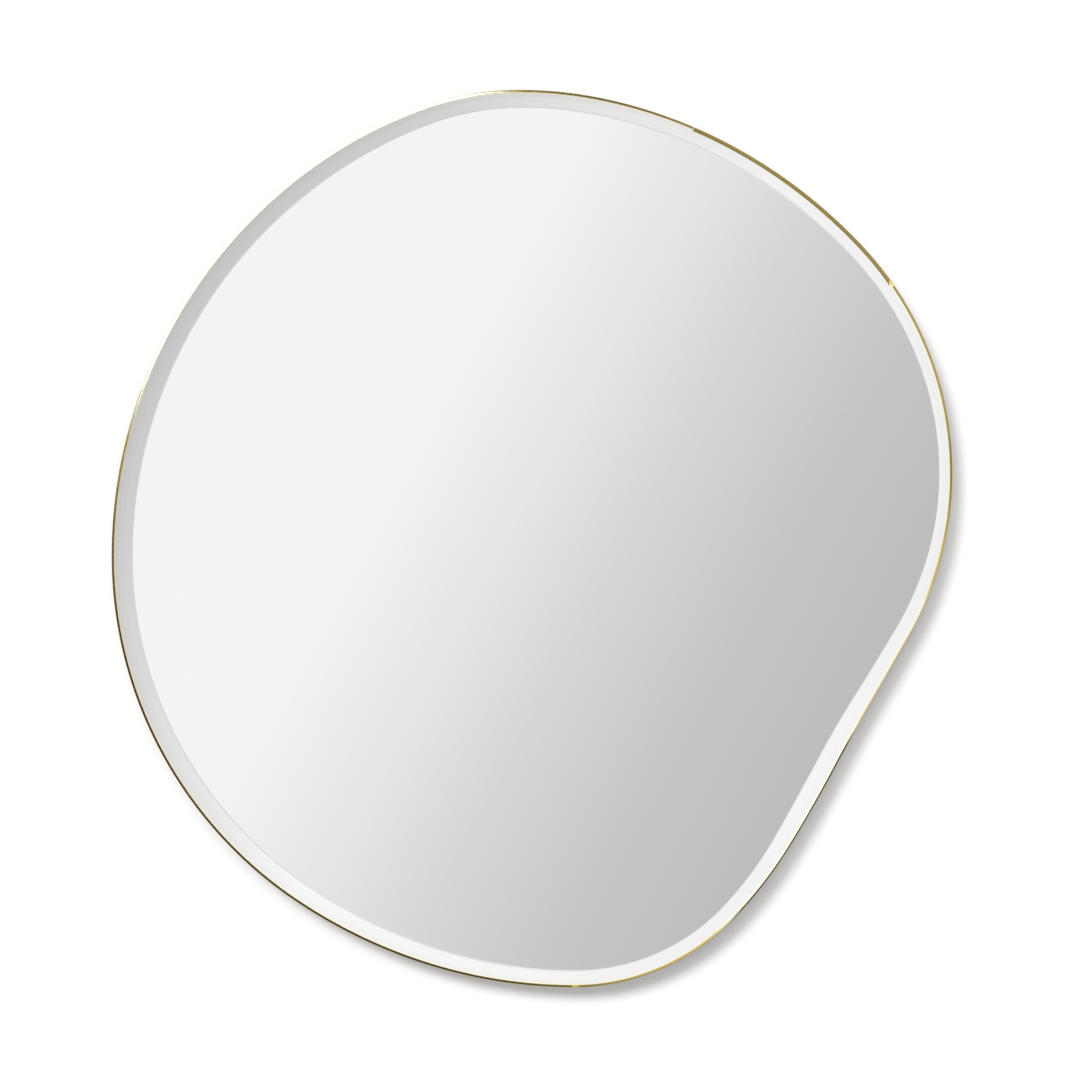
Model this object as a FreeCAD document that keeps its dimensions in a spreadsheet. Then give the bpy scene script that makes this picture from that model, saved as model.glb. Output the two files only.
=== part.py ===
"""Irregular bevelled wall mirror in a thin brass frame of three bars.

The mirror hangs in the XZ plane, +Z up, and its glass looks towards -Y.
The origin is the middle of the width and height, on the rear face of the
backing board.  All sizes are in millimetres and degrees.
"""
import FreeCAD, Part
import math
import os
import Sketcher

Vector = FreeCAD.Vector

# Driving sizes, one spreadsheet row each: name, value, what it is.
SIZES = (
    ("overall_width", 550, "frame, outside, left to right"),
    ("overall_height", 587, "frame, outside, top to bottom"),
    ("right_z", 42.5, "height of the rightmost point"),
    ("shoulder_in", 58.5, "shoulder, in from the right side"),
    ("shoulder_down", 102.5, "shoulder, down from the top"),
    ("shoulder_heading", 133, "way the outline runs there"),
    ("crown_x", 55, "crown, right of the middle"),
    ("crown_down", 7.5, "crown, down from the top"),
    ("crown_heading", 166.5, "way the outline runs there"),
    ("top_x", -7.5, "place of the highest point"),
    ("brow_in", 143, "brow, in from the left side"),
    ("brow_down", 41, "brow, down from the top"),
    ("brow_heading", 213, "way the outline runs there"),
    ("left_z", -11.5, "height of the leftmost point"),
    ("cheek_in", 118, "cheek, in from the left side"),
    ("cheek_up", 58, "cheek, up from the bottom"),
    ("cheek_heading", 325.5, "way the outline runs there"),
    ("bottom_x", 27.5, "place of the lowest point"),
    ("lobe_in", 142, "lobe, in from the right side"),
    ("lobe_up", 46, "lobe, up from the bottom"),
    ("lobe_heading", 46.5, "way the outline runs there"),
    ("hip_in", 77, "foot of the flank, in from the right side"),
    ("hip_up", 143.5, "foot of the flank, up from the bottom"),
    ("hip_heading", 62, "way the outline runs there"),
    ("waist_in", 28, "head of the flank, in from the right side"),
    ("waist_up", 230.5, "head of the flank, up from the bottom"),
    ("waist_heading", 60.5, "way the outline runs there"),
    ("bevel_right", 6.2, "bevel width at the rightmost point"),
    ("bevel_shoulder", 7.2, "bevel width at the shoulder"),
    ("bevel_crown", 9.1, "bevel width at the crown"),
    ("bevel_top", 9.2, "bevel width at the highest point"),
    ("bevel_brow", 10.7, "bevel width at the brow"),
    ("bevel_left", 11.4, "bevel width at the leftmost point"),
    ("bevel_cheek", 10.8, "bevel width at the cheek"),
    ("bevel_bottom", 8.7, "bevel width at the lowest point"),
    ("bevel_lobe", 8.1, "bevel width at the lobe"),
    ("bevel_hip", 10.2, "bevel width at the hip"),
    ("bevel_waist", 7.6, "bevel width at the waist"),
    ("glass_thickness", 5, "mirror glass, face to back"),
    ("glass_edge", 2, "thickness left at the edge of the bevel"),
    ("silver_thickness", 0.2, "silvering with its paint"),
    ("tape_thickness", 1, "mirror tape between glass and board"),
    ("tape_width", 25, "one strip of mirror tape"),
    ("tape_length", 320, "one strip of mirror tape"),
    ("tape_pitch", 110, "from strip to strip"),
    ("tape_count", 4, "strips of mirror tape"),
    ("bead_width", 10, "adhesive bead, pressed flat"),
    ("bead_length", 300, "adhesive bead"),
    ("board_thickness", 12, "backing board"),
    ("frame_depth", 20, "frame bar, rear edge to front edge"),
    ("bar_thickness", 1.5, "left and right frame bars"),
    ("shoulder_bar_thickness", 2.5, "shoulder bar, at its front lip"),
    ("bar_rounding", 0.3, "front edges of the left and right bars"),
    ("shoulder_bar_rounding", 0.5, "front edges of the shoulder bar"),
    ("glass_gap", 0.1, "glass edge to frame bar"),
    ("board_gap", 0.3, "board edge to frame bar"),
    ("lip_gap", 0.3, "bevel to the lip of the shoulder bar"),
    ("joint_gap", 0.3, "between two bar ends"),
    ("crown_joint_angle", 68.5, "direction of the joint from the middle"),
    ("shoulder_joint_angle", 35.3, "direction of the joint from the middle"),
    ("bottom_joint_angle", 275.5, "direction of the joint from the middle"),
    ("left_tabs", 5, "tabs on the left bar"),
    ("shoulder_tabs", 2, "tabs on the shoulder bar"),
    ("right_tabs", 4, "tabs on the right bar"),
    ("tab_margin", 30, "bar end to the middle of the first tab"),
    ("tab_width", 24, "tab along the bar"),
    ("tab_length", 15, "tab from the bar inwards"),
    ("tab_thickness", 1.5, "tab"),
    ("tab_hole_inset", 8.5, "bar to the screw hole"),
    ("braze_gap", 0.2, "brazed seam between tab and bar"),
    ("seat_gap", 0.5, "board recess round a tab or hanger"),
    ("screw_head", 6.4, "countersunk head across"),
    ("screw_shank", 3.5, "screw shank across"),
    ("screw_length", 10, "screw under its head's face"),
    ("screw_slot", 0.8, "width of the cross recess"),
    ("screw_slot_length", 3, "length of the cross recess"),
    ("screw_slot_depth", 0.9, "depth of the cross recess"),
    ("screw_gap", 0.1, "screw to the sides of its hole"),
    ("hanger_length", 58, "keyhole hanger, end to end"),
    ("hanger_width", 24, "keyhole hanger"),
    ("hanger_thickness", 1.5, "keyhole hanger"),
    ("hanger_hole_spacing", 42, "between the two screws of a hanger"),
    ("hanger_x", 140, "middle to each hanger"),
    ("hanger_down", 128.5, "top of the frame down to each hanger's middle"),
    ("keyhole_head", 9.5, "round end of the keyhole, across"),
    ("keyhole_slot", 4.5, "width of the keyhole's slot"),
    ("keyhole_rise", 7, "round end to the top of the slot"),
    ("keyhole_drop", 2.5, "hanger's middle down to the round end"),
    ("head_room", 6, "depth of the board pocket behind a keyhole"),
    ("head_room_side", 1.5, "pocket beyond the keyhole, all round"),
)

STATIONS = ("right", "shoulder", "crown", "top", "brow", "left",
            "cheek", "bottom", "lobe", "hip", "waist")

# Depths in front of the board's rear face.
TAPE_BACK = "Sizes.board_thickness"
SILVER_BACK = TAPE_BACK + " + Sizes.tape_thickness"
GLASS_BACK = SILVER_BACK + " + Sizes.silver_thickness"
BEVEL_BACK = GLASS_BACK + " + Sizes.glass_edge"
GLASS_FRONT = GLASS_BACK + " + Sizes.glass_thickness"

# Screw holes and the depth of a screw's conical head.
SCREW_HOLE = "Sizes.screw_shank + 2 * Sizes.screw_gap"
SCREW_CONE = "(Sizes.screw_head - Sizes.screw_shank) / 2"

CUT_PAST = 1         # how far a cut runs beyond what it removes
CLOSE = 0.01         # edges this near a plane lie in it
MOST_ROUNDED = 0.45  # of a bar's thickness, for each front edge
HALVINGS = 50        # of the bend, in the search for a direction

doc = FreeCAD.newDocument("IrregularMirror")
sheet = doc.addObject("Spreadsheet::Sheet", "Sizes")
for row, (alias, value, note) in enumerate(SIZES, start=1):
    sheet.set("A%d" % row, alias)
    sheet.set("B%d" % row, str(value))
    sheet.set("C%d" % row, note)
    sheet.setAlias("B%d" % row, alias)
doc.recompute()

subparts = []


def size(alias):
    return float(sheet.get(alias))


# Outlines

def unit(heading):
    angle = math.radians(heading)
    return Vector(math.cos(angle), math.sin(angle), 0)


def left_of(heading):
    return unit(heading + 90)


class Bend:
    """One arc of an outline that runs anticlockwise, seen from the front.

    A radius above 0 turns left, round the inside of the outline.
    """

    def __init__(self, start, heading, radius, sweep):
        self.start = start
        self.heading = heading
        self.radius = radius
        self.sweep = sweep

    def length(self):
        return math.radians(self.sweep) * self.radius

    def point(self, share):
        centre = self.start + left_of(self.heading) * self.radius
        return centre - left_of(self.heading + share * self.sweep) * self.radius

    def piece(self, first, last):
        heading = self.heading + first * self.sweep
        return Bend(self.point(first), heading, self.radius, (last - first) * self.sweep)

    def inset(self, distance):
        start = self.start + left_of(self.heading) * distance
        return Bend(start, self.heading, self.radius - distance, self.sweep)

    def curve(self):
        return Part.Arc(self.point(0), self.point(0.5), self.point(1))


def bend_to(start, heading, end):
    """The arc that leaves start along heading and arrives at end."""
    chord = end - start
    half_turn = math.atan2(chord.dot(left_of(heading)), chord.dot(unit(heading)))
    radius = chord.Length / (2 * math.sin(half_turn))
    return Bend(start, heading, radius, 2 * math.degrees(half_turn))


def two_bends(station, following):
    """Two tangent arcs from one station to the next, with equal end tangents."""
    start, heading = station
    end, last_heading = following
    chord = end - start
    tangents = unit(heading) + unit(last_heading)
    along = chord.dot(tangents)
    spread = 2 * (1 - unit(heading).dot(unit(last_heading)))
    reach = (math.sqrt(along ** 2 + spread * chord.Length ** 2) - along) / spread
    middle = (start + end + (unit(heading) - unit(last_heading)) * reach) * 0.5
    first = bend_to(start, heading, middle)
    return [first, bend_to(middle, heading + first.sweep, end)]


def closed_outline(stations):
    bends = []
    for station, following in zip(stations, stations[1:] + stations[:1]):
        bends += two_bends(station, following)
    return bends


def frame_stations():
    """Place and heading of each station, in the order of STATIONS."""
    right = size("overall_width") / 2
    top = size("overall_height") / 2
    left, bottom = -right, -top
    return [
        (Vector(right, size("right_z")), 90),
        (Vector(right - size("shoulder_in"), top - size("shoulder_down")),
         size("shoulder_heading")),
        (Vector(size("crown_x"), top - size("crown_down")), size("crown_heading")),
        (Vector(size("top_x"), top), 180),
        (Vector(left + size("brow_in"), top - size("brow_down")), size("brow_heading")),
        (Vector(left, size("left_z")), 270),
        (Vector(left + size("cheek_in"), bottom + size("cheek_up")), size("cheek_heading")),
        (Vector(size("bottom_x"), bottom), 360),
        (Vector(right - size("lobe_in"), bottom + size("lobe_up")), size("lobe_heading")),
        (Vector(right - size("hip_in"), bottom + size("hip_up")), size("hip_heading")),
        (Vector(right - size("waist_in"), bottom + size("waist_up")), size("waist_heading")),
    ]


def bevel_stations(stations):
    """Stations of the line where the bevel meets the flat of the glass."""
    edge = size("bar_thickness") + size("glass_gap")
    widths = [edge + size("bevel_" + name) for name in STATIONS]
    moved = [place + left_of(heading) * width
             for (place, heading), width in zip(stations, widths)]
    turned = []
    for index, (_, heading) in enumerate(stations):
        before = index - 1
        after = (index + 1) % len(stations)
        run = (moved[index] - moved[before]).Length + (moved[after] - moved[index]).Length
        drift = math.degrees(math.atan((widths[after] - widths[before]) / run))
        turned.append((moved[index], heading + drift))
    return turned


def inset(bends, distance):
    return [bend.inset(distance) for bend in bends]


def curves(bends):
    return [bend.curve() for bend in bends]


def stretch(bends, first, last):
    """The bends between two lengths along the outline, which may pass its start."""
    whole = sum(bend.length() for bend in bends)
    laps = math.floor(first / whole) * whole
    first -= laps
    last -= laps
    pieces = []
    reached = 0
    for bend in bends + bends:
        begin = max(first, reached)
        end = min(last, reached + bend.length())
        if end > begin:
            pieces.append(bend.piece((begin - reached) / bend.length(),
                                     (end - reached) / bend.length()))
        reached += bend.length()
    return pieces


def length_to(bends, direction):
    """Length along the outline to the point that lies in this direction."""
    start = math.atan2(bends[0].start.y, bends[0].start.x)
    wanted = (math.radians(direction) - start) % (2 * math.pi)
    reached = 0
    turned = 0
    for bend in bends:
        end = bend.point(1)
        after = (math.atan2(end.y, end.x) - start) % (2 * math.pi)
        if turned <= wanted <= after or after < turned:
            break
        turned = after
        reached += bend.length()
    low, high = 0.0, 1.0
    for _ in range(HALVINGS):
        share = (low + high) / 2
        place = bend.point(share)
        angle = (math.atan2(place.y, place.x) - start) % (2 * math.pi)
        if angle < wanted:
            low = share
        else:
            high = share
    return reached + share * bend.length()


def band(bends, outer, inner):
    """Curves round a band along the bends, between two insets."""
    outside = inset(bends, outer)
    inside = inset(bends, inner)
    ends = [Part.LineSegment(outside[0].point(0), inside[0].point(0)),
            Part.LineSegment(outside[-1].point(1), inside[-1].point(1))]
    return curves(outside) + curves(inside) + ends


FRAME = closed_outline(frame_stations())
BEVEL_LINE = closed_outline(bevel_stations(frame_stations()))
WHOLE = sum(bend.length() for bend in FRAME)


# Small helpers

def keep(subpart):
    subparts.append(subpart)
    return subpart


def new_body(name):
    body = doc.addObject("PartDesign::Body", name)
    body.Label = name
    return keep(body)


def new_sketch(body, name, depth="0"):
    """A sketch parallel to the wall, its +X and +Y along X and Z, facing -Y."""
    sketch = body.newObject("Sketcher::SketchObject", name)
    plane = [item for item in body.Origin.OriginFeatures if item.Role == "XZ_Plane"][0]
    sketch.AttachmentSupport = [(plane, "")]
    sketch.MapMode = "FlatFace"
    sketch.setExpression("AttachmentOffset.Base.z", depth)
    return sketch


def draw(sketch, geometry):
    """Fixed curves, whose places come from the outline."""
    for curve in geometry:
        index = sketch.addGeometry(curve, False)
        sketch.addConstraint(Sketcher.Constraint("Block", index))


def draw_circle(sketch, place, diameter):
    """A circle at a place, its diameter bound to the sheet."""
    index = sketch.addGeometry(Part.Circle(place, Vector(0, 0, 1), 1), False)
    sketch.addConstraint(Sketcher.Constraint("DistanceX", -1, 1, index, 3, place.x))
    sketch.addConstraint(Sketcher.Constraint("DistanceY", -1, 1, index, 3, place.y))
    number = sketch.addConstraint(Sketcher.Constraint("Diameter", index, 2))
    sketch.setExpression("Constraints[%d]" % number, diameter)


def pad(body, sketch, length):
    feature = body.newObject("PartDesign::Pad", sketch.Name + "_pad")
    feature.Profile = sketch
    feature.setExpression("Length", length)
    return feature


def pocket(body, sketch, depth):
    """Cuts from the sketch towards the front, to a depth."""
    feature = body.newObject("PartDesign::Pocket", sketch.Name + "_pocket")
    feature.Profile = sketch
    feature.setExpression("Length", depth)
    feature.Reversed = True
    return feature


# The glass

def make_glass():
    edge = size("bar_thickness") + size("glass_gap")
    body = new_body("mirror_glass")
    back = new_sketch(body, "glass_back", GLASS_BACK)
    draw(back, curves(inset(FRAME, edge)))
    pad(body, back, "Sizes.glass_edge")
    bevel_foot = new_sketch(body, "bevel_foot", BEVEL_BACK)
    draw(bevel_foot, curves(inset(FRAME, edge)))
    bevel_top = new_sketch(body, "bevel_top", GLASS_FRONT)
    draw(bevel_top, curves(BEVEL_LINE))
    bevel = body.newObject("PartDesign::AdditiveLoft", "bevel")
    bevel.Profile = bevel_foot
    bevel.Sections = [bevel_top]
    bevel.Ruled = True


def make_silver():
    body = new_body("silver_coating")
    back = new_sketch(body, "silver_back", SILVER_BACK)
    draw(back, curves(inset(FRAME, size("bar_thickness") + size("glass_gap"))))
    pad(body, back, "Sizes.silver_thickness")


# The frame

def bar_stretches():
    """The three bars: name, stretch of the outline and count of tabs."""
    joints = {name: length_to(FRAME, size(name + "_joint_angle"))
              for name in ("shoulder", "crown", "bottom")}
    half_gap = size("joint_gap") / 2
    ends = (
        ("shoulder", joints["shoulder"], joints["crown"]),
        ("left", joints["crown"], joints["bottom"]),
        ("right", joints["bottom"], joints["shoulder"] + WHOLE),
    )
    return [(name, begin + half_gap, end - half_gap) for name, begin, end in ends]


def round_front_edges(body, last, radius):
    """Rounds the two long edges at the front of a bar; its ends stay square."""
    doc.recompute()
    front = -size("frame_depth")
    names = []
    for number, edge in enumerate(last.Shape.Edges, start=1):
        box = edge.BoundBox
        at_front = abs(box.YMin - front) < CLOSE and box.YLength < CLOSE
        if at_front and isinstance(edge.Curve, Part.Circle):
            names.append("Edge%d" % number)
    rounding = body.newObject("PartDesign::Fillet", last.Name + "_rounding")
    rounding.Base = (last, names)
    rounding.Radius = radius


def make_bar(name, first, last):
    kind = "shoulder_bar" if name == "shoulder" else "bar"
    thick = size(kind + "_thickness")
    body = new_body("frame_bar_" + name)
    section = new_sketch(body, name + "_bar")
    draw(section, band(stretch(FRAME, first, last), 0, thick))
    bar = pad(body, section, "Sizes.frame_depth")
    if name == "shoulder":
        bar = cut_lip(body, first, last)
    round_front_edges(body, bar, min(size(kind + "_rounding"), thick * MOST_ROUNDED))


def cut_lip(body, first, last):
    """Thins the shoulder bar behind its front lip, which laps the bevel."""
    overlap = size("shoulder_bar_thickness") - size("bar_thickness")
    narrowest = min(size("bevel_right"), size("bevel_shoulder"), size("bevel_crown"))
    rise = overlap * (size("glass_thickness") - size("glass_edge")) / narrowest
    rebate = new_sketch(body, "shoulder_rebate")
    draw(rebate, band(stretch(FRAME, first - CUT_PAST, last + CUT_PAST),
                      size("bar_thickness"), size("shoulder_bar_thickness") + CUT_PAST))
    return pocket(body, rebate, BEVEL_BACK + " + Sizes.lip_gap + %g" % rise)


def tab_places():
    """Name and length along the outline of each tab."""
    places = []
    for name, first, last in bar_stretches():
        count = int(size(name + "_tabs"))
        begin = first + size("tab_margin")
        step = (last - first - 2 * size("tab_margin")) / (count - 1)
        places += [("%s_tab_%d" % (name, index + 1), begin + index * step)
                   for index in range(count)]
    return places


def tab_shape(middle, outer, inner, spare):
    """Closed curves round a tab: its outer end follows the bar."""
    half = size("tab_width") / 2 + spare
    return band(stretch(FRAME, middle - half, middle + half), outer, inner)


def tab_hole(middle):
    half = stretch(FRAME, middle, middle + size("tab_width") / 2)
    return half[0].inset(size("bar_thickness") + size("tab_hole_inset")).start


def make_tab(name, middle):
    body = new_body(name)
    outline = new_sketch(body, name + "_outline")
    outer = size("bar_thickness") + size("braze_gap")
    draw(outline, tab_shape(middle, outer, size("bar_thickness") + size("tab_length"), 0))
    pad(body, outline, "Sizes.tab_thickness")
    hole = new_sketch(body, name + "_hole")
    draw_circle(hole, tab_hole(middle), SCREW_HOLE)
    last = pocket(body, hole, "Sizes.tab_thickness")
    countersink(body, last)


def countersink(body, last):
    """Opens the rear rim of each screw hole to the cone of a screw head."""
    doc.recompute()
    wanted = size("screw_shank") / 2 + size("screw_gap")
    names = []
    for number, edge in enumerate(last.Shape.Edges, start=1):
        at_rear = abs(edge.BoundBox.YMax) < CLOSE and edge.BoundBox.YLength < CLOSE
        circle = isinstance(edge.Curve, Part.Circle)
        if at_rear and circle and abs(edge.Curve.Radius - wanted) < CLOSE:
            names.append("Edge%d" % number)
    cone = body.newObject("PartDesign::Chamfer", last.Name + "_countersink")
    cone.Base = (last, names)
    cone.setExpression("Size", SCREW_CONE)


# The board

def hanger_places():
    height = size("overall_height") / 2 - size("hanger_down")
    return (("left", Vector(-size("hanger_x"), height)),
            ("right", Vector(size("hanger_x"), height)))


def hanger_screws(place):
    half = size("hanger_hole_spacing") / 2
    return [place + Vector(-half, 0), place + Vector(half, 0)]


def screw_places():
    tabs = [tab_hole(middle) for _, middle in tab_places()]
    hangers = [spot for _, place in hanger_places() for spot in hanger_screws(place)]
    return tabs, hangers


def slot_shape(first, last, width):
    """Closed curves of a slot with round ends, about two centres."""
    along = (last - first).normalize() * (width / 2)
    side = Vector(-along.y, along.x)
    return [Part.LineSegment(first - side, last - side),
            Part.Arc(last - side, last + along, last + side),
            Part.LineSegment(last + side, first + side),
            Part.Arc(first + side, first - along, first - side)]


def hanger_shape(place, spare):
    """Closed curves of a hanger plate, larger by a spare all round."""
    half = Vector((size("hanger_length") - size("hanger_width")) / 2, 0)
    return slot_shape(place - half, place + half, size("hanger_width") + 2 * spare)


def head_pocket_shape(place):
    """Closed curves of the room for a wall screw's head, from round end to slot top."""
    low = place - Vector(0, size("keyhole_drop"))
    high = low + Vector(0, size("keyhole_rise"))
    return slot_shape(low, high, size("keyhole_head") + 2 * size("head_room_side"))


def keyhole_shape(place):
    """Closed curves of a keyhole: a round end with a slot that rises from it."""
    big = size("keyhole_head") / 2
    small = size("keyhole_slot") / 2
    neck = math.sqrt(big ** 2 - small ** 2)
    low = place - Vector(0, size("keyhole_drop"))
    top = low + Vector(0, size("keyhole_rise"))
    low_right = low + Vector(small, neck)
    low_left = low + Vector(-small, neck)
    return [Part.Arc(low_left, low - Vector(0, big), low_right),
            Part.LineSegment(low_right, top + Vector(small, 0)),
            Part.Arc(top + Vector(small, 0), top + Vector(0, small), top - Vector(small, 0)),
            Part.LineSegment(top - Vector(small, 0), low_left)]


def make_board():
    body = new_body("backing_board")
    face = new_sketch(body, "board_face")
    draw(face, curves(inset(FRAME, size("bar_thickness") + size("board_gap"))))
    pad(body, face, "Sizes.board_thickness")
    seats = new_sketch(body, "tab_seats")
    for _, middle in tab_places():
        depth = size("bar_thickness") + size("tab_length") + size("seat_gap")
        draw(seats, tab_shape(middle, 0, depth, size("seat_gap")))
    pocket(body, seats, "Sizes.tab_thickness")
    hanger_seats = new_sketch(body, "hanger_seats")
    pockets = new_sketch(body, "head_pockets")
    for _, place in hanger_places():
        draw(hanger_seats, hanger_shape(place, size("seat_gap")))
        draw(pockets, head_pocket_shape(place))
    pocket(body, hanger_seats, "Sizes.hanger_thickness")
    pocket(body, pockets, "Sizes.hanger_thickness + Sizes.head_room")
    pilots = new_sketch(body, "pilot_holes")
    tabs, hangers = screw_places()
    for spot in tabs + hangers:
        draw_circle(pilots, spot, SCREW_HOLE)
    pocket(body, pilots, "Sizes.screw_length + 2 * Sizes.screw_gap")


# Hangers and screws

def make_hanger(side, place):
    name = "hanger_" + side
    body = new_body(name)
    plate = new_sketch(body, name + "_plate")
    draw(plate, hanger_shape(place, 0))
    pad(body, plate, "Sizes.hanger_thickness")
    keyhole = new_sketch(body, name + "_keyhole")
    draw(keyhole, keyhole_shape(place))
    pocket(body, keyhole, "Sizes.hanger_thickness")
    holes = new_sketch(body, name + "_holes")
    for spot in hanger_screws(place):
        draw_circle(holes, spot, SCREW_HOLE)
    last = pocket(body, holes, "Sizes.hanger_thickness")
    countersink(body, last)


def make_screws(name, places):
    """A group of countersunk screws with cross recesses, heads to the rear."""
    screws = []
    for index, spot in enumerate(places, start=1):
        tag = "%s_%d" % (name, index)
        head = doc.addObject("Part::Cone", tag + "_head")
        head.setExpression("Radius1", "Sizes.screw_head / 2")
        head.setExpression("Radius2", "Sizes.screw_shank / 2")
        head.setExpression("Height", SCREW_CONE)
        shank = doc.addObject("Part::Cylinder", tag + "_shank")
        shank.setExpression("Radius", "Sizes.screw_shank / 2")
        shank.setExpression("Height", "Sizes.screw_length")
        blank = doc.addObject("Part::MultiFuse", tag + "_blank")
        blank.Shapes = [head, shank]
        arms = []
        for turn in (0, 90):
            arm = doc.addObject("Part::Box", "%s_arm_%d" % (tag, turn))
            arm.setExpression("Length", "Sizes.screw_slot_length")
            arm.setExpression("Width", "Sizes.screw_slot")
            arm.setExpression("Height", "Sizes.screw_slot_depth")
            middle = Vector(-size("screw_slot_length") / 2, -size("screw_slot") / 2, 0)
            spin = FreeCAD.Rotation(Vector(0, 0, 1), turn)
            arm.Placement = FreeCAD.Placement(spin.multVec(middle), spin)
            arms.append(arm)
        recess = doc.addObject("Part::MultiFuse", tag + "_recess")
        recess.Shapes = arms
        screw = doc.addObject("Part::Cut", tag)
        screw.Base = blank
        screw.Tool = recess
        into_board = FreeCAD.Rotation(Vector(1, 0, 0), 90)
        screw.Placement = FreeCAD.Placement(Vector(spot.x, 0, spot.y), into_board)
        screws.append(screw)
    group = doc.addObject("Part::Compound", name)
    group.Label = name
    group.Links = screws
    keep(group)


# Tape and adhesive

def make_pad_strip(name, x_place, width, length):
    """A flat upright strip between the board and the silvered glass."""
    strip = doc.addObject("Part::Box", name)
    strip.Label = name
    strip.setExpression("Length", width)
    strip.setExpression("Height", length)
    strip.setExpression("Width", "Sizes.tape_thickness")
    strip.setExpression("Placement.Base.x", "%s - %s / 2" % (x_place, width))
    strip.setExpression("Placement.Base.y", "-(%s)" % SILVER_BACK)
    strip.setExpression("Placement.Base.z", "-%s / 2" % length)
    keep(strip)


def make_tape_and_adhesive():
    count = int(size("tape_count"))
    for index in range(count):
        shift = "(%g * Sizes.tape_pitch)" % (index - (count - 1) / 2)
        make_pad_strip("mirror_tape_%d" % (index + 1), shift,
                       "Sizes.tape_width", "Sizes.tape_length")
    for index in range(count - 1):
        shift = "(%g * Sizes.tape_pitch)" % (index - (count - 2) / 2)
        make_pad_strip("adhesive_bead_%d" % (index + 1), shift,
                       "Sizes.bead_width", "Sizes.bead_length")


# Build

def build():
    make_glass()
    make_silver()
    make_tape_and_adhesive()
    make_board()
    for name, first, last in bar_stretches():
        make_bar(name, first, last)
    for name, middle in tab_places():
        make_tab(name, middle)
    for side, place in hanger_places():
        make_hanger(side, place)
    tabs, hangers = screw_places()
    make_screws("tab_screws", tabs)
    make_screws("hanger_screws", hangers)
    doc.recompute()


def check():
    for item in doc.Objects:
        if "Invalid" in item.State or "Error" in item.State:
            raise RuntimeError("%s did not build" % item.Name)
    for subpart in subparts:
        if subpart.Shape.isNull() or not subpart.Shape.isValid():
            raise RuntimeError("%s has no valid shape" % subpart.Label)


def write():
    os.makedirs("parts", exist_ok=True)
    for subpart in subparts:
        subpart.Shape.exportStep("parts/%s.step" % subpart.Label)
        box = subpart.Shape.BoundBox
        print("%-20s solids %2d  volume %9.1f  y %.2f to %.2f"
              % (subpart.Label, len(subpart.Shape.Solids), subpart.Shape.Volume,
                 box.YMin, box.YMax))


build()
check()
write()
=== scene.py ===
import math

import bmesh
import bpy
from mathutils import Matrix, Vector


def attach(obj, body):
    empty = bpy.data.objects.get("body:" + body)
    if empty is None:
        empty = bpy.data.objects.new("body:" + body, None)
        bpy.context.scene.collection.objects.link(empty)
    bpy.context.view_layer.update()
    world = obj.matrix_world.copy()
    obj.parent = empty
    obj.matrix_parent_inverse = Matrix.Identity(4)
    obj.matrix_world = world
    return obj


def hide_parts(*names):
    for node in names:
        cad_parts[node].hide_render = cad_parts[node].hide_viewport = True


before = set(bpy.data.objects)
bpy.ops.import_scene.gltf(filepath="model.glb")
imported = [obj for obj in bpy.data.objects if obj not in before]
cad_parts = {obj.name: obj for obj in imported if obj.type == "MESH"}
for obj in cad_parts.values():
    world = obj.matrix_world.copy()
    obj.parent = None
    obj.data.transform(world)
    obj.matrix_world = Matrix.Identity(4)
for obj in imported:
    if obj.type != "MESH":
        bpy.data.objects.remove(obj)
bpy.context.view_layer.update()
print("frame loaded:", len(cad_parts), "nodes")

mm = 0.001
close = 0.01 * mm                              # closer than this counts as the same place


def shade(colour, by):
    return [part * by for part in colour]


# short way to write materials
class Value:                                   # a socket that works in sums
    def __init__(self, net, socket):
        self.net = net
        self.socket = socket

    def of(self, name):                        # another output of the same node
        return Value(self.net, self.socket.node.outputs[name])

    def math(self, operation, *others):
        inputs = dict(enumerate((self,) + others))
        return self.net.node("Math", {"operation": operation}, inputs)

    def __add__(self, other):
        return self.math("ADD", other)

    def __sub__(self, other):
        return self.math("SUBTRACT", other)

    def __mul__(self, other):
        return self.math("MULTIPLY", other)

    def __truediv__(self, other):
        return self.math("DIVIDE", other)

    def __pow__(self, other):
        return self.math("POWER", other)

    def __rsub__(self, other):
        return self.net.node("Math", {"operation": "SUBTRACT"}, {0: other, 1: self})

    __rmul__ = __mul__

    def ease(self, low, high):                 # 0 below low, 1 above high, smooth between
        limits = {0: self, 1: low, 2: high, 3: 0.0, 4: 1.0}
        return self.net.node("MapRange", {"interpolation_type": "SMOOTHSTEP"}, limits)


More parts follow.
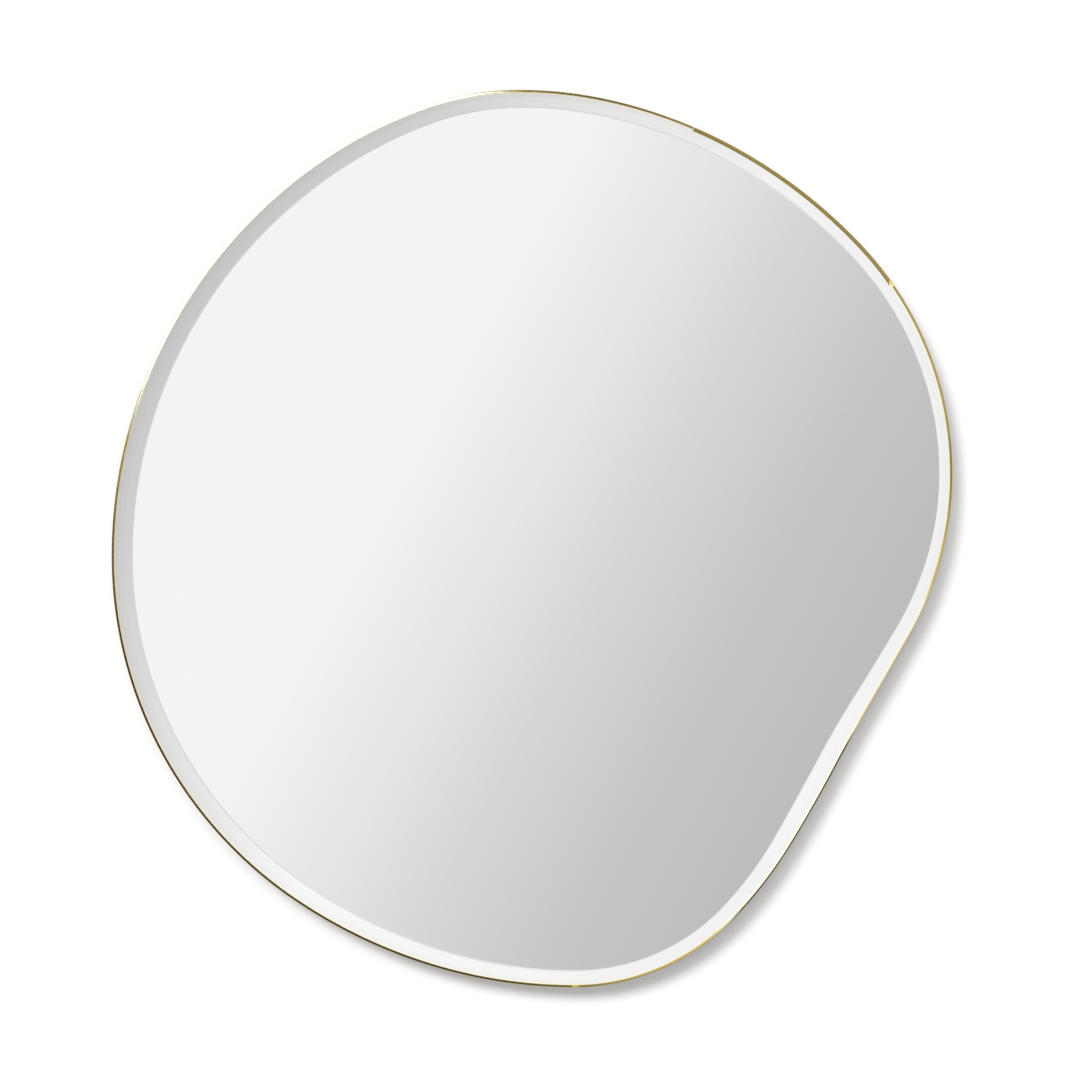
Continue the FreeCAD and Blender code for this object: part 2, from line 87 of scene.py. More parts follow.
class Net:                                     # the nodes of one material or world
    def __init__(self, tree):
        self.tree = tree
        tree.nodes.clear()

    def node(self, kind, settings=None, inputs=None, out=0):
        made = self.tree.nodes.new("ShaderNode" + kind)
        for name, value in (settings or {}).items():
            if name == "stops":
                self.setStops(made.color_ramp, value)
            else:
                setattr(made, name, value)
        for name, value in (inputs or {}).items():
            if isinstance(value, Value):
                self.tree.links.new(value.socket, made.inputs[name])
            else:
                made.inputs[name].default_value = value
        return Value(self, made.outputs[out]) if made.outputs else None

    def setStops(self, ramp, stops):
        while len(ramp.elements) < len(stops):
            ramp.elements.new(0.5)
        for element, (place, colour) in zip(ramp.elements, stops):
            element.position = place
            element.color = tuple(colour) + (1,)

    def mix(self, share, first, second):       # of two colours
        return self.node("Mix", {"data_type": "RGBA"},
                         {0: share, 6: self.colour(first), 7: self.colour(second)}, out=2)

    def colour(self, value):
        return value if isinstance(value, Value) else tuple(value) + (1,)

    def blend(self, share, first, second):     # of two numbers
        return second * share + first * (1 - share)

    def place(self):                           # Object coordinates
        return self.node("TexCoord", out=3)

    def axes(self, way=None):
        return self.node("SeparateXYZ", None, {0: way or self.place()})

    def stretch(self, way, scale):
        return self.node("Mapping", None, {0: way, 3: scale})

    def noise(self, way, scale, detail=3.0, roughness=0.5):
        return self.node("TexNoise", None, {"Vector": way, "Scale": scale, "Detail": detail,
                                            "Roughness": roughness})

    def bump(self, height, distance):
        return self.node("Bump", None, {"Height": height, "Distance": distance})

    def grey(self, tone):
        return self.node("CombineColor", None, {0: tone, 1: tone, 2: tone})

    def fromMiddle(self):                      # how far across, up, and in all
        axes = self.axes()
        across, up = axes.of("X"), axes.of("Z")
        return across, up, (across * across + up * up) ** 0.5

    def towards(self, across, up, off, angle):  # 1 straight that way from the middle, -1 opposite
        angle = math.radians(angle)
        way = across * math.cos(angle) + up * math.sin(angle)
        return way / off.math("MAXIMUM", 0.01)

    def goingRound(self, around, tones):       # around runs from 0 to 1, beginning at the left
        most = max(tone for _, tone in tones)
        stops = [(degrees / 360 + 0.5, (tone / most,) * 3) for degrees, tone in tones]
        ramp = self.node("ValToRGB", {"stops": stops}, {0: around})
        return self.node("SeparateColor", None, {0: ramp}) * most

    def surface(self, **inputs):
        named = {name.replace("_", " "): value for name, value in inputs.items()}
        return self.node("BsdfPrincipled", None, named)

    def finish(self, shader, target="OutputMaterial"):
        self.node(target, None, {"Surface": shader})


def newMaterial(name):
    material = bpy.data.materials.new(name)
    material.use_nodes = True
    return material, Net(material.node_tree)


# outline of the mirror, from named places along its frame
outline = {                                    # x, z, way it runs, bevel width there (mm, degrees)
    "right": (275, 42.5, 90, 6.2),
    "shoulder": (216.5, 191, 133, 7.2),
    "crown": (55, 286, 166.5, 9.1),
    "top": (-7.5, 293.5, 180, 9.2),
    "brow": (-132, 252.5, 213, 10.7),
    "left": (-275, -11.5, 270, 11.4),
    "cheek": (-157, -235.5, 325.5, 10.8),
    "bottom": (27.5, -293.5, 360, 8.7),
    "lobe": (133, -247.5, 46.5, 8.1),
    "hip": (198, -150, 62, 10.2),
    "waist": (247, -63, 60.5, 7.6),
}
joints = {"shoulder": 35.3, "crown": 68.5, "bottom": 275.5}   # seen from the middle (degrees)
smoothness = {"step": 2.5 * mm}                # longest facet along an arc


def runs(heading):
    angle = math.radians(heading)
    return Vector((math.cos(angle), 0, math.sin(angle)))


def leftOf(heading):
    return runs(heading + 90)


class Bend:                                    # one arc, anticlockwise seen from the front
    def __init__(self, start, heading, radius, sweep):
        self.start = start
        self.heading = heading
        self.radius = radius
        self.sweep = sweep

    def length(self):
        return math.radians(self.sweep) * self.radius

    def centre(self):
        return self.start + leftOf(self.heading) * self.radius

    def point(self, share):
        return self.centre() - leftOf(self.heading + share * self.sweep) * self.radius

    def piece(self, first, last):
        heading = self.heading + first * self.sweep
        return Bend(self.point(first), heading, self.radius, (last - first) * self.sweep)

    def steps(self):
        return max(1, math.ceil(self.length() / smoothness["step"]))


def bendTo(start, heading, end):
    chord = end - start
    halfTurn = math.atan2(chord.dot(leftOf(heading)), chord.dot(runs(heading)))
    return Bend(start, heading, chord.length / (2 * math.sin(halfTurn)),
                2 * math.degrees(halfTurn))


def twoBends(start, heading, end, lastHeading):
    chord = end - start
    along = chord.dot(runs(heading) + runs(lastHeading))
    spread = 2 * (1 - runs(heading).dot(runs(lastHeading)))
    reach = (math.sqrt(along ** 2 + spread * chord.length_squared) - along) / spread
    middle = (start + end + (runs(heading) - runs(lastHeading)) * reach) / 2
    first = bendTo(start, heading, middle)
    return [first, bendTo(middle, heading + first.sweep, end)]


def closedOutline(stations):
    bends = []
    for (start, heading), (end, lastHeading) in zip(stations, stations[1:] + stations[:1]):
        bends += twoBends(start, heading, end, lastHeading)
    return bends


def frameStations():
    return [(Vector((x, 0, z)) * mm, heading) for x, z, heading, _ in outline.values()]


def bevelStations(edge):                       # turned a little where the bevel widens
    widths = [edge + bevel * mm for _, _, _, bevel in outline.values()]
    moved = [place + leftOf(heading) * width
             for (place, heading), width in zip(frameStations(), widths)]
    turned = []
    for index, (_, heading) in enumerate(frameStations()):
        before, after = index - 1, (index + 1) % len(moved)
        run = (moved[index] - moved[before]).length + (moved[after] - moved[index]).length
        drift = math.degrees(math.atan((widths[after] - widths[before]) / run))
        turned.append((moved[index], heading + drift))
    return turned


frameBends = closedOutline(frameStations())
whole = sum(bend.length() for bend in frameBends)


def partOf(first, last):                       # the bends between two lengths along the frame
    pieces, reached = [], 0
    for bend in frameBends + frameBends:
        begin, end = max(first, reached), min(last, reached + bend.length())
        if end > begin:
            pieces.append(bend.piece((begin - reached) / bend.length(),
                                     (end - reached) / bend.length()))
        reached += bend.length()
    return pieces


def lengthTo(angle):                           # along the frame to this direction from the middle
    def turned(place):
        start = frameBends[0].start
        return (math.atan2(place.z, place.x) - math.atan2(start.z, start.x)) % math.tau

    wanted = turned(runs(angle))
    low, high = 0.0, whole
    for _ in range(40):
        middle = (low + high) / 2
        place = partOf(middle, middle + smoothness["step"])[0].start
        low, high = (middle, high) if turned(place) < wanted else (low, middle)
    return low


def follow(mesh, geometry, bends, counts, along=None):
    # spins what is given round each bend in turn and returns the last copy
    reached = 0
    for bend, count in zip(bends, counts):
        before = set(mesh.verts)
        made = bmesh.ops.spin(mesh, geom=geometry, cent=bend.centre(), axis=(0, -1, 0),
                              angle=math.radians(bend.sweep), steps=count)
        geometry = made["geom_last"]
        if along:
            for vert in set(mesh.verts) - before:
                radial = vert.co - bend.centre()
                radial = -radial if bend.radius < 0 else radial
                heading = math.degrees(math.atan2(radial.z, radial.x)) + 90
                turn = (heading - bend.heading + 180) % 360 - 180
                vert[along] = reached + bend.length() * turn / bend.sweep
        reached += bend.length()
    return geometry


def newObject(name, mesh, materials):
    data = bpy.data.meshes.new(name)
    mesh.to_mesh(data)
    mesh.free()
    made = bpy.data.objects.new(name, data)
    bpy.context.scene.collection.objects.link(made)
    for material in materials:
        data.materials.append(material)
    return made


def newPiece(name, mesh, materials, node):
    piece = newObject(name, mesh, materials)
    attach(piece, "root")
    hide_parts(node)
    return piece


# glass with its bevel, silvered on the back
glass = {
    "front": -18.2 * mm,                       # depths, the wall being at 0
    "back": -13.2 * mm,
    "edge": 2 * mm,                            # thickness left at the foot of the bevel
    "inset": 1.6 * mm,                         # from the outside of the frame
    "refraction": 1.52,
    "silver": (0.965, 0.965, 0.965),
    "haze": (0.996, 0.997, 0.996),
    "streaks": 0.0012 * mm,                    # polishing lines along the bevel
    "grain": [(0.62, 0.72, 0.67), (0.78, 0.84, 0.80)],   # ground edge,
    "edgeGlow": (0.85, 0.40),                  # painted glow: most light in it, and how much that falls
    "shadeSide": 145,                           # the painted glow falls towards here (degrees)
    "crease": 8,                               # edges sharper than this stay sharp (degrees)
}
silver = {"front": -13.19 * mm, "back": -13.0 * mm, "paint": (0.16, 0.17, 0.17)}


def loopOfVerts(mesh, bends, counts, depth, along=None):
    # a closed ring of edges at one depth
    start = bmesh.ops.create_vert(mesh, co=bends[0].start + Vector((0, depth, 0)))["vert"]
    before = set(mesh.edges)
    follow(mesh, start, bends, counts, along)
    ring = [edge for edge in mesh.edges if edge not in before]
    verts = list(dict.fromkeys(vert for edge in ring for vert in edge.verts))
    bmesh.ops.remove_doubles(mesh, verts=verts, dist=close)
    return [edge for edge in mesh.edges if edge not in before]


def keepSharp(mesh, crease):
    for edge in mesh.edges:
        edge.smooth = len(edge.link_faces) == 2 and edge.calc_face_angle(0) < math.radians(crease)


def insetBends(distance):
    return [Bend(bend.start + leftOf(bend.heading) * distance, bend.heading,
                 bend.radius - distance, bend.sweep) for bend in frameBends]


def makeSheet(mesh, front, back):              # a flat blank, cut to the glass outline
    counts = [bend.steps() for bend in frameBends]
    along = mesh.verts.layers.float.new("along")
    ring = loopOfVerts(mesh, insetBends(glass["inset"]), counts, back, along)
    face = bmesh.ops.contextual_create(mesh, geom=ring)["faces"]
    made = bmesh.ops.extrude_face_region(mesh, geom=face, use_keep_orig=True)
    raised = [item for item in made["geom"] if isinstance(item, bmesh.types.BMVert)]
    bmesh.ops.translate(mesh, verts=raised, vec=(0, front - back, 0))
    top = [item for item in made["geom"] if isinstance(item, bmesh.types.BMFace)]
    return top, counts


def makeGlass():
    mesh = bmesh.new()
    foot = glass["back"] - glass["edge"]
    top, counts = makeSheet(mesh, foot, glass["back"])
    outer = list(top[0].edges)
    bmesh.ops.delete(mesh, geom=top, context="FACES_ONLY")
    along = mesh.verts.layers.float["along"]
    across = mesh.verts.layers.float.new("across")
    crestBends = closedOutline(bevelStations(glass["inset"]))
    crest = loopOfVerts(mesh, crestBends, counts, glass["front"], along)
    for vert in {vert for edge in crest for vert in edge.verts}:
        vert[across] = 1
    bmesh.ops.bridge_loops(mesh, edges=outer + crest)
    bmesh.ops.contextual_create(mesh, geom=crest)
    bmesh.ops.recalc_face_normals(mesh, faces=mesh.faces)
    for face in mesh.faces:
        depths = [vert.co.y for vert in face.verts]
        level = max(depths) - min(depths) < close
        upright = abs(face.normal.y) < 0.01
        face.smooth = not level
        face.material_index = 1 if level and max(depths) > foot else 2 if upright else 0
    keepSharp(mesh, glass["crease"])
    materials = [glassMaterial(), silverMaterial("silvered back"), groundMaterial()]
    newPiece("mirror_glass_bevelled", mesh, materials, "mirror_glass")


def makeSilver():
    mesh = bmesh.new()
    makeSheet(mesh, silver["front"], silver["back"])
    bmesh.ops.recalc_face_normals(mesh, faces=mesh.faces)
    for face in mesh.faces:
        face.material_index = 0 if face.normal.y < -0.5 else 1
    materials = [silverMaterial("silvering"), paintMaterial()]
    newPiece("silver_and_paint", mesh, materials, "silver_coating")


def glassMaterial():
    material, net = newMaterial("clear glass")
    along = net.node("Attribute", {"attribute_name": "along"}, out=2)
    across = net.node("Attribute", {"attribute_name": "across"}, out=2)
    way = net.node("CombineXYZ", None, {0: along * 6, 1: across * 14, 2: 0.5})
    streaks = net.noise(way, 1.0, 4.0)
    onBevel = across.ease(0.0, 0.05) * (1 - across.ease(0.95, 1.0))
    haze = net.noise(net.place(), 9.0, 4.0).ease(0.45, 0.75)
    net.finish(net.surface(
        Base_Color=net.mix(haze, (1, 1, 1), glass["haze"]), Transmission_Weight=1.0,
        IOR=glass["refraction"], Roughness=0.0,
        Normal=net.bump(streaks * onBevel, glass["streaks"])))
    return material


def silverMaterial(name):
    material, net = newMaterial(name)
    cloud = net.noise(net.place(), 14.0, 3.0)
    tone = net.mix(cloud, glass["silver"], shade(glass["silver"], 0.992))
    net.finish(net.surface(Base_Color=tone, Metallic=1.0, Roughness=0.0))
    return material


def groundMaterial():
    material, net = newMaterial("ground glass edge")
    grain = net.noise(net.place(), 2500.0, 3.0, 0.7)
    tone = net.mix(grain, *glass["grain"])
    # painted glow: the ground edge glows, less towards one side
    most, fall = glass["edgeGlow"]
    toDark = net.towards(*net.fromMiddle(), glass["shadeSide"]).math("MAXIMUM", 0)
    net.finish(net.surface(Base_Color=tone, Roughness=grain * 0.25 + 0.4, IOR=1.5,
                           Emission_Color=net.grey(most - toDark * fall),
                           Emission_Strength=1.0, Normal=net.bump(grain, 0.02 * mm)))
    return material


def paintMaterial():
    material, net = newMaterial("mirror backing paint")
    orange = net.noise(net.place(), 700.0, 3.0)
    tone = net.mix(net.noise(net.place(), 20.0), silver["paint"], shade(silver["paint"], 1.25))
    net.finish(net.surface(Base_Color=tone, Roughness=orange * 0.2 + 0.4,
                           Normal=net.bump(orange, 0.02 * mm)))
    return material


makeGlass()
makeSilver()
print("glass and silvering made")


# brass frame of three bars
bars = {
    "depth": 20 * mm,
    "thickness": 1.5 * mm,                     # left and right bars
    "rounding": 0.45 * mm,                     # of their outer front edge
    "shoulderThickness": 2.5 * mm,
    "shoulderRounding": 0.5 * mm,              # of both its front edges
    "lipDepth": 4.02 * mm,                     # front lip of the shoulder bar, over the bevel
    "jointGap": 0.3 * mm,
    "roundingSegments": 4,
    "crease": 30,                              # edges sharper than this stay sharp (degrees)
    "brass": (0.80, 0.62, 0.20),
    "tarnish": (0.55, 0.40, 0.13),
    "paintedSheen": (0.96, 0.90, 0.64),           # painted sheen, pale, inside the outer rounding,
    "sheenSides": [(129, 34), (-36, 26)],       # around here: middle, half reach (degrees)
    "paintedShadeEdge": (0.06, 0.05, 0.035),           # painted shade on the outer front edge,
    "shadeSide": (-47, 13),                     # around here: middle, half reach (degrees),
    "darkWidth": 1.0 * mm,
    "sideFade": 4,                             # degrees over which both fade out
    "glint": (0.95, 0.78, 0.13),               # painted glint on the bar ends at two joints,
    "glintReach": 2 * mm,                      # this far from the joint
    "glintRoughness": 0.3,
}


def barSection(mesh, bend, shape, inset):
    # the profile, given as how far in from the outside and how far from the wall
    side = leftOf(bend.heading)
    verts = []
    for inward, forward in shape:
        place = bend.start + side * inward + Vector((0, -forward, 0))
        vert = bmesh.ops.create_vert(mesh, co=place)["vert"][0]
        vert[inset] = inward
        verts.append(vert)
    face = mesh.faces.new(verts)
    return [face] + list(face.edges) + verts


def makeBar(name, first, last, materials):
    shoulder = name == "shoulder"
    thick = bars["shoulderThickness"] if shoulder else bars["thickness"]
    deep = bars["depth"]
    shape = [(0, 0), (0, deep), (thick, deep)]
    if shoulder:
        behind = deep - bars["lipDepth"]
        shape += [(thick, behind), (bars["thickness"], behind)]
    shape += [(bars["thickness"], 0)]
    mesh = bmesh.new()
    along = mesh.verts.layers.float.new("along")
    inset = mesh.verts.layers.float.new("inset")
    bends = partOf(first, last)
    section = barSection(mesh, bends[0], shape, inset)
    follow(mesh, section, bends, [bend.steps() for bend in bends], along)
    bmesh.ops.remove_doubles(mesh, verts=mesh.verts, dist=0.001 * mm)
    bmesh.ops.recalc_face_normals(mesh, faces=mesh.faces)
    front = [edge for edge in mesh.edges
             if all(vert.co.y < -deep + close for vert in edge.verts)
             and abs(edge.verts[0][inset] - edge.verts[1][inset]) < close
             and (shoulder or edge.verts[0][inset] < close)]
    rounding = bars["shoulderRounding"] if shoulder else bars["rounding"]
    bmesh.ops.bevel(mesh, geom=front, offset=rounding, offset_type="OFFSET",
                    affect="EDGES", segments=bars["roundingSegments"], profile=0.5,
                    material=-1)
    for face in mesh.faces:
        face.smooth = len(face.verts) == 4
        inner = sum(vert[inset] for vert in face.verts) > thick * 0.55 * len(face.verts)
        face.material_index = 1 if inner and abs(face.normal.y) < 0.05 and face.smooth else 0
    keepSharp(mesh, bars["crease"])
    bar = newPiece("brass_bar_" + name, mesh, materials, "frame_bar_" + name)
    bar.modifiers.new("even normals", "WEIGHTED_NORMAL").keep_sharp = True


def reachTo(half, fade):                       # cosines where a side ends and where it is full
    return math.cos(math.radians(half + fade)), math.cos(math.radians(half))


def sideShare(net, side):                      # 1 on this side of the mirror, 0 elsewhere
    turn, half = side
    return net.towards(*net.fromMiddle(), turn).ease(*reachTo(half, bars["sideFade"]))


# where the painted sheen lies
def sheenShare(net):
    first, second = [sideShare(net, side) for side in bars["sheenSides"]]
    return first.math("MAXIMUM", second)


def brassMaterial(glintJoints):                      # places of the joints that get a painted glint
    material, net = newMaterial("polished brass")
    depth = net.axes().of("Y") * -1
    along = net.node("Attribute", {"attribute_name": "along"}, out=2)
    inset = net.node("Attribute", {"attribute_name": "inset"}, out=2)
    drawn = net.node("CombineXYZ", None, {0: along * 30, 1: inset * 9000, 2: depth * -9000})
    lines = net.noise(drawn, 1.0, 3.0)         # drawing lines along the bar
    cloud = net.noise(net.place(), 26.0, 5.0, 0.6)
    marks = net.noise(net.place(), 900.0, 2.0).ease(0.62, 0.72)
    aged = cloud.ease(0.45, 0.8) * 0.3 + marks * 0.25
    tone = net.mix(aged, bars["brass"], bars["tarnish"])
    # painted sheen: the flat made pale on two sides of the mirror
    onFlat = inset.ease(bars["rounding"] * 0.9, bars["rounding"] * 1.1)
    tone = net.mix(sheenShare(net) * onFlat, tone, bars["paintedSheen"])
    # painted shade: the outer front edge made dark on the lower right side
    width, front = bars["darkWidth"], bars["depth"] - bars["rounding"]
    onEdge = (1 - inset.ease(width * 0.9, width)) * depth.ease(front - width, front)
    tone = net.mix(sideShare(net, bars["shadeSide"]) * onEdge, tone, bars["paintedShadeEdge"])
    # painted glint: the bar ends near two joints made bright yellow
    first, second = [net.node("VectorMath", {"operation": "DISTANCE"},
                              {0: net.place(), 1: joint}, out=1) for joint in glintJoints]
    reach = bars["glintReach"]
    glint = 1 - first.math("MINIMUM", second).ease(reach, reach * 1.4)
    net.finish(net.surface(
        Base_Color=net.mix(glint, tone, bars["glint"]), Metallic=1.0,
        Roughness=lines * 0.05 + cloud * 0.03 + 0.03 + glint * bars["glintRoughness"],
        Normal=net.bump(lines, 0.002 * mm)))
    return material


def innerMaterial():
    material, net = newMaterial("inner face of the bars")
    cloud = net.noise(net.place(), 60.0, 4.0, 0.6)
    # painted sheen: the inner face made pale on the same two sides
    tone = net.mix(sheenShare(net), bars["brass"], bars["paintedSheen"])
    net.finish(net.surface(
        Base_Color=net.mix(cloud * 0.12, tone, bars["tarnish"]), Metallic=1.0, Roughness=0.0,
        Normal=net.bump(cloud, 0.01 * mm)))
    return material


def makeFrame():
    half = bars["jointGap"] / 2
    shoulder, crown, bottom = [lengthTo(angle) for angle in joints.values()]
    forward = Vector((0, -bars["depth"], 0))
    # places for the painted glint on the bar ends
    glintJoints = [partOf(length, length + half)[0].start + forward for length in (shoulder, bottom)]
    materials = [brassMaterial(glintJoints), innerMaterial()]
    makeBar("shoulder", shoulder + half, crown - half, materials)
    makeBar("left", crown + half, bottom - half, materials)
    makeBar("right", bottom + half, shoulder + whole - half, materials)


makeFrame()
print("brass bars made")


# finishes of the pieces that keep their CAD shape
finishes = {
    "boardBlack": (0.012, 0.012, 0.013),
    "boardDust": (0.05, 0.05, 0.05),
    "rawBoard": (0.30, 0.20, 0.12),            # fibreboard in the cut pockets,
    "cutFrom": (0.3 * mm, 0.6 * mm),           # between these two
    "cutTo": (10.0 * mm, 10.4 * mm),           # and these two depths
    "tape": (0.75, 0.75, 0.73),
    "adhesive": (0.45, 0.46, 0.46),
    "zinc": (0.56, 0.58, 0.60),
    "screw": (0.66, 0.62, 0.50),
}


def boardMaterial():
    material, net = newMaterial("black painted fibreboard")
    place = net.place()
    depth = net.axes(place).of("Y") * -1
    cut = depth.ease(*finishes["cutFrom"]) * (1 - depth.ease(*finishes["cutTo"]))
    grain = net.noise(place, 900.0, 5.0, 0.65)
    roller = net.noise(place, 160.0, 2.0)
    dust = net.noise(place, 7.0, 5.0, 0.6).ease(0.5, 0.8)
    painted = net.mix(dust * 0.35 + grain * 0.25, finishes["boardBlack"], finishes["boardDust"])
    fibres = net.noise(net.stretch(place, (1, 1, 5)), 1400.0, 4.0, 0.7)
    raw = net.mix(fibres, shade(finishes["rawBoard"], 0.6), shade(finishes["rawBoard"], 1.3))
    net.finish(net.surface(
        Base_Color=net.mix(cut, painted, raw),
        Roughness=net.blend(cut, roller * 0.25 + 0.38, 0.9),
        Normal=net.bump(net.blend(cut, roller * 0.6 + grain * 0.4, fibres), 0.10 * mm)))
    return material


def tapeMaterial():
    material, net = newMaterial("foam mirror tape")
    cells = net.node("TexVoronoi", None, {"Vector": net.place(), "Scale": 3500.0})
    tone = net.mix(cells * 0.8, finishes["tape"], shade(finishes["tape"], 0.8))
    net.finish(net.surface(Base_Color=tone, Roughness=cells * 0.1 + 0.85,
                           Normal=net.bump(cells, 0.05 * mm)))
    return material


def adhesiveMaterial():
    material, net = newMaterial("mirror adhesive")
    ripple = net.noise(net.place(), 220.0, 3.0)
    tone = net.mix(ripple, finishes["adhesive"], shade(finishes["adhesive"], 1.2))
    net.finish(net.surface(Base_Color=tone, Roughness=ripple * 0.2 + 0.35,
                           Normal=net.bump(ripple, 0.15 * mm)))
    return material


def platedMaterial(name, colour, spangle):
    material, net = newMaterial(name)
    place = net.place()
    grains = net.node("TexVoronoi", None, {"Vector": place, "Scale": spangle}, out=1)
    patch = net.node("SeparateColor", None, {0: grains})
    rolled = net.noise(net.stretch(place, (40, 40, 900)), 1.0, 3.0)
    tone = net.mix(patch * 0.6 + rolled * 0.3, shade(colour, 0.82), shade(colour, 1.08))
    net.finish(net.surface(Base_Color=tone, Metallic=1.0,
                           Roughness=patch * 0.12 + rolled * 0.12 + 0.24,
                           Normal=net.bump(rolled, 0.004 * mm)))
    return material


def dressNodes():
    zinc = platedMaterial("zinc plated steel", finishes["zinc"], 420.0)
    screwMetal = platedMaterial("yellow zinc screws", finishes["screw"], 1500.0)
    tape, adhesive, board = tapeMaterial(), adhesiveMaterial(), boardMaterial()
    for name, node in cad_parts.items():
        if name.endswith("_screws"):
            material = screwMetal
        elif "_tab_" in name or name.startswith("hanger_"):
            material = zinc
        elif name.startswith("mirror_tape"):
            material = tape
        elif name.startswith("adhesive"):
            material = adhesive
        elif name == "backing_board":
            material = board
        else:
            continue
        for slot in node.material_slots:
            slot.material = material


dressNodes()
print("board, hangers, tabs, screws, tape and adhesive dressed")


# wall, light and camera
wall = {
    "gap": 1 * mm,                             # behind the mirror
    "half": 6.0,                               # half its width (m)
    "colour": (0.70, 0.70, 0.70),
    "glow": 0.305,
}
light = {
    # off the wall's normal, turned round it, apparent size (degrees), share of the light level
    "key": (32.5, 133, 18, 0.55),
    "top": (24, 101, 26, 0.27),
    "rear": (30, 125, 40, 0.85),               # behind the wall, for the rear only
}
view = {
    "distance": 2.62,                          # from the wall (m)
    "wide": 0.7062,                            # what fits across at the front of the frame (m)
    "aimX": 5.2 * mm, "aimZ": -0.9 * mm,
}


def makeWall():
    material, net = newMaterial("white wall")
    behind = net.node("NewGeometry").of("Backfacing")
    front = net.surface(Base_Color=net.colour(wall["colour"]), Roughness=1.0,
                        Specular_IOR_Level=0.0, Emission_Color=(1, 1, 1, 1),
                        Emission_Strength=wall["glow"])
    clear = net.node("BsdfTransparent")
    net.finish(net.node("MixShader", None, {0: behind, 1: front, 2: clear}))
    mesh = bmesh.new()
    bmesh.ops.create_grid(mesh, x_segments=1, y_segments=1, size=wall["half"])
    bmesh.ops.rotate(mesh, verts=mesh.verts, cent=(0, 0, 0),
                     matrix=Matrix.Rotation(math.radians(90), 3, "X"))
    bmesh.ops.translate(mesh, verts=mesh.verts, vec=(0, wall["gap"], 0))
    backdrop = newObject("wall", mesh, [material])
    backdrop.visible_diffuse = False
    backdrop.visible_glossy = False
    backdrop.visible_transmission = False
    backdrop.visible_shadow = False


def makeSun(name, front):
    off, side, spread, share = light[name]
    off, side = math.radians(off), math.radians(side)
    towards = Vector((-math.cos(side) * math.sin(off), front * math.cos(off),
                      -math.sin(side) * math.sin(off)))
    data = bpy.data.lights.new(name + " light", "SUN")
    data.energy = math.pi * share / math.cos(off)
    data.angle = math.radians(spread)
    lamp = bpy.data.objects.new(name + " light", data)
    bpy.context.scene.collection.objects.link(lamp)
    lamp.rotation_euler = towards.to_track_quat("-Z", "Y").to_euler()
    lamp.visible_camera = False
    lamp.visible_glossy = False
    lamp.visible_transmission = False


# Ways in the studio are given as seen from the mirror: how far off the axis to the
# camera (tangent), and turned round it (degrees, 0 at the right, 90 at the top).
studio = {
    "ambient": 0.21,                           # on rough surfaces
    "seen": 1.0,                               # behind and beside the wall, white
    # what the mirror shows
    "fadeTurn": 28.2,                          # slope of the fade
    "fade": [(-0.105, 0.935), (-0.02, 0.817), (0.06, 0.688), (0.14, 0.590), (0.225, 0.529)],
    "fadeEnd": (0.125, 0.17),
    "ring": (0.985, 0.40),                     # beyond it: brightest, and how much that falls
    "ringTurn": -35,                           # towards here
    "ringEnd": (0.72, 1.7), "outside": 0.55,
    # what the brass shows, going round: turn and tone near the axis, and farther out
    "near": [(-180, 0.13), (-165, 0.04), (-150, 0.06), (-120, 0.07), (-105, 0.04),
             (-90, 0.08), (-80, 0.52), (-70, 0.85), (-60, 0.95), (-52, 1.5), (-45, 1.8),
             (-38, 1.2), (-30, 0.8), (-15, 1.0), (-5, 0.85), (0, 0.5), (8, 0.12), (15, 0.5),
             (27, 0.52), (37, 0.46), (50, 0.39), (65, 0.44), (80, 0.11), (90, 0.12),
             (97, 0.2), (160, 0.3), (168, 0.35), (180, 0.12)],
    "far": [(-180, 0.06), (-100, 0.05), (-85, 0.12), (-75, 0.2), (-62, 0.07), (-34, 0.07),
            (-24, 0.5), (-10, 0.7), (8, 0.65), (20, 0.9), (30, 0.6), (45, 0.3), (65, 0.35),
            (80, 0.2), (90, 0.3), (97, 0.9), (160, 0.9), (170, 0.25), (180, 0.06)],
    "nearEnd": (0.13, 0.3), "farEnd": (0.7, 1.1),
    "beyond": 0.4,
    "rear": 0.6, "rearStart": (-0.15, 0.15),
    "softbox": 6.0,                            # at the upper left
    "boxTurn": 128, "boxHalf": 26, "boxFade": 3,
    "boxStart": (0.08, 0.09), "boxEnd": (0.72, 0.88),
}


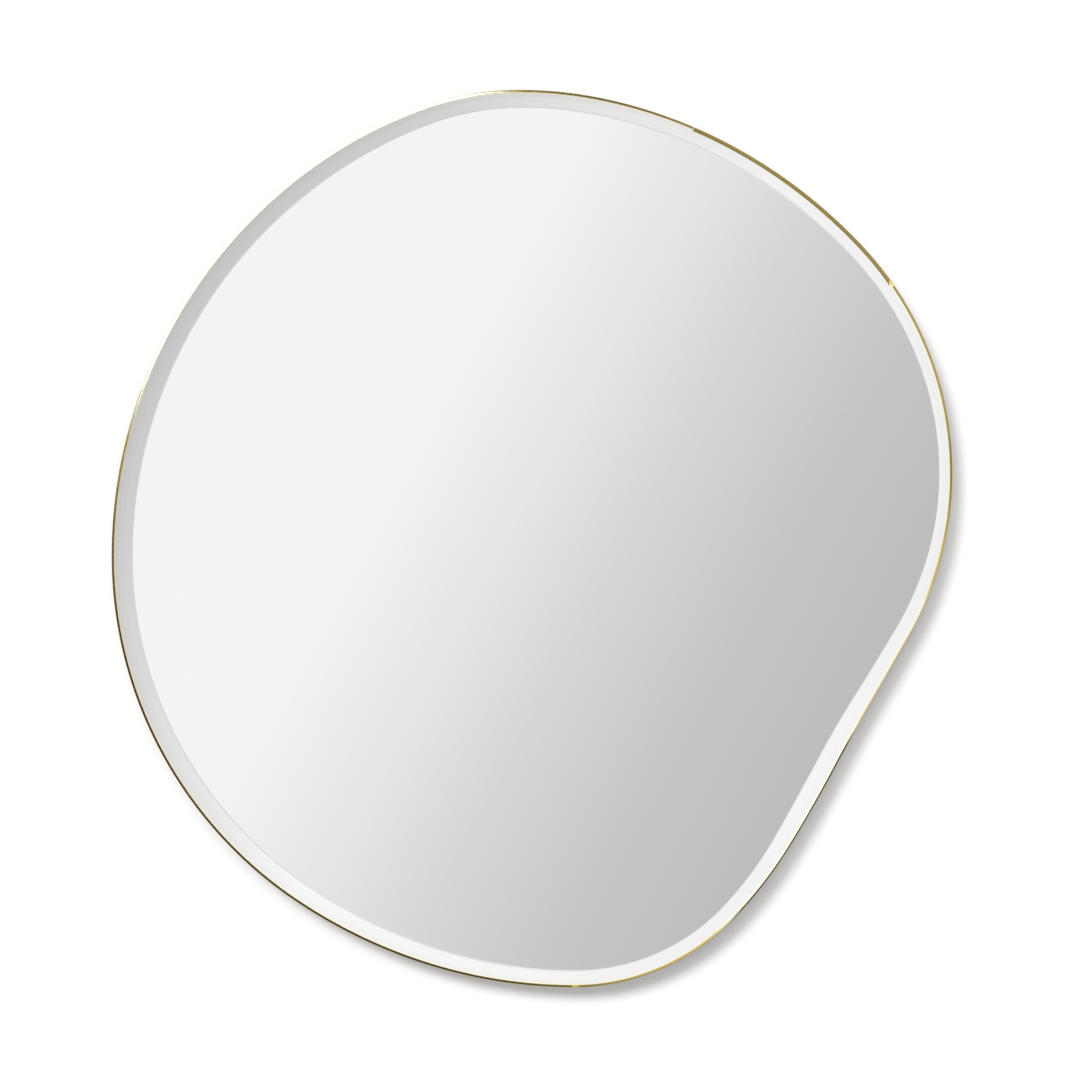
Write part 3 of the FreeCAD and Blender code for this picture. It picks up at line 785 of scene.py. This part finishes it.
def makeWorld():
    world = bpy.data.worlds.new("studio")
    bpy.context.scene.world = world
    world.use_nodes = True
    world.cycles.sampling_method = "NONE"
    net = Net(world.node_tree)
    way = net.axes(net.node("TexCoord", out=0))
    ahead = (way.of("Y") * -1).math("MAXIMUM", 0.02)
    across, up = way.of("X") / ahead, way.of("Z") / ahead
    off = (across * across + up * up) ** 0.5

    # what the mirror shows: a pale fade, and the grey beyond it that its bevel picks up
    turn = math.radians(studio["fadeTurn"])
    along = (across * math.cos(turn) - up * math.sin(turn)) * view["distance"]
    first, last = studio["fade"][0][0], studio["fade"][-1][0]
    stops = [((place - first) / (last - first), (tone, tone, tone))
             for place, tone in studio["fade"]]
    fade = net.node("ValToRGB", {"stops": stops}, {0: (along - first) / (last - first)})
    fade = net.node("SeparateColor", None, {0: fade})
    bright, fall = studio["ring"]
    toDark = net.towards(across, up, off, studio["ringTurn"]).math("MAXIMUM", 0)
    ring = bright - toDark ** 0.9 * fall
    outside = net.blend(off.ease(*studio["ringEnd"]), ring, studio["outside"])
    mirrored = net.blend(off.ease(*studio["fadeEnd"]), fade, outside)

    # what the brass shows: the room and the softbox
    around = up.math("ARCTAN2", across) / math.tau + 0.5
    room = net.blend(off.ease(*studio["nearEnd"]), net.goingRound(around, studio["near"]),
                     net.goingRound(around, studio["far"]))
    room = net.blend(off.ease(*studio["farEnd"]), room, studio["beyond"])
    inBox = net.towards(across, up, off, studio["boxTurn"])
    inBox = inBox.ease(*reachTo(studio["boxHalf"], studio["boxFade"]))
    inBox = inBox * off.ease(*studio["boxStart"]) * (1 - off.ease(*studio["boxEnd"]))
    shiny = net.blend(way.of("Y").ease(*studio["rearStart"]),
                      net.blend(inBox, room, studio["softbox"]), studio["rear"])

    # which rays see what
    rays = net.node("LightPath")
    camera, glossy, through = [rays.of("Is %s Ray" % kind)
                               for kind in ("Camera", "Glossy", "Transmission")]
    glossy = glossy * (1 - rays.of("Diffuse Depth").math("MINIMUM", 1))
    shiny = net.blend(rays.of("Is Singular Ray"), shiny, mirrored)
    level = net.blend(glossy, studio["ambient"], shiny)
    level = net.blend(through, level, mirrored)
    level = net.blend(camera, level, studio["seen"])
    net.finish(net.node("Background", None, {0: net.grey(level), 1: 1.0}), "OutputWorld")


def makeCamera():
    data = bpy.data.cameras.new("camera")
    data.lens = data.sensor_width * (view["distance"] - bars["depth"]) / view["wide"]
    camera = bpy.data.objects.new("camera", data)
    camera.location = (view["aimX"], -view["distance"], view["aimZ"])
    camera.rotation_euler = (math.radians(90), 0, 0)
    bpy.context.scene.collection.objects.link(camera)
    bpy.context.scene.camera = camera


makeWall()
makeSun("key", 1)
makeSun("top", 1)
makeSun("rear", -1)
makeWorld()
makeCamera()
bpy.context.scene.view_settings.view_transform = "Standard"
print("wall, light and camera set")
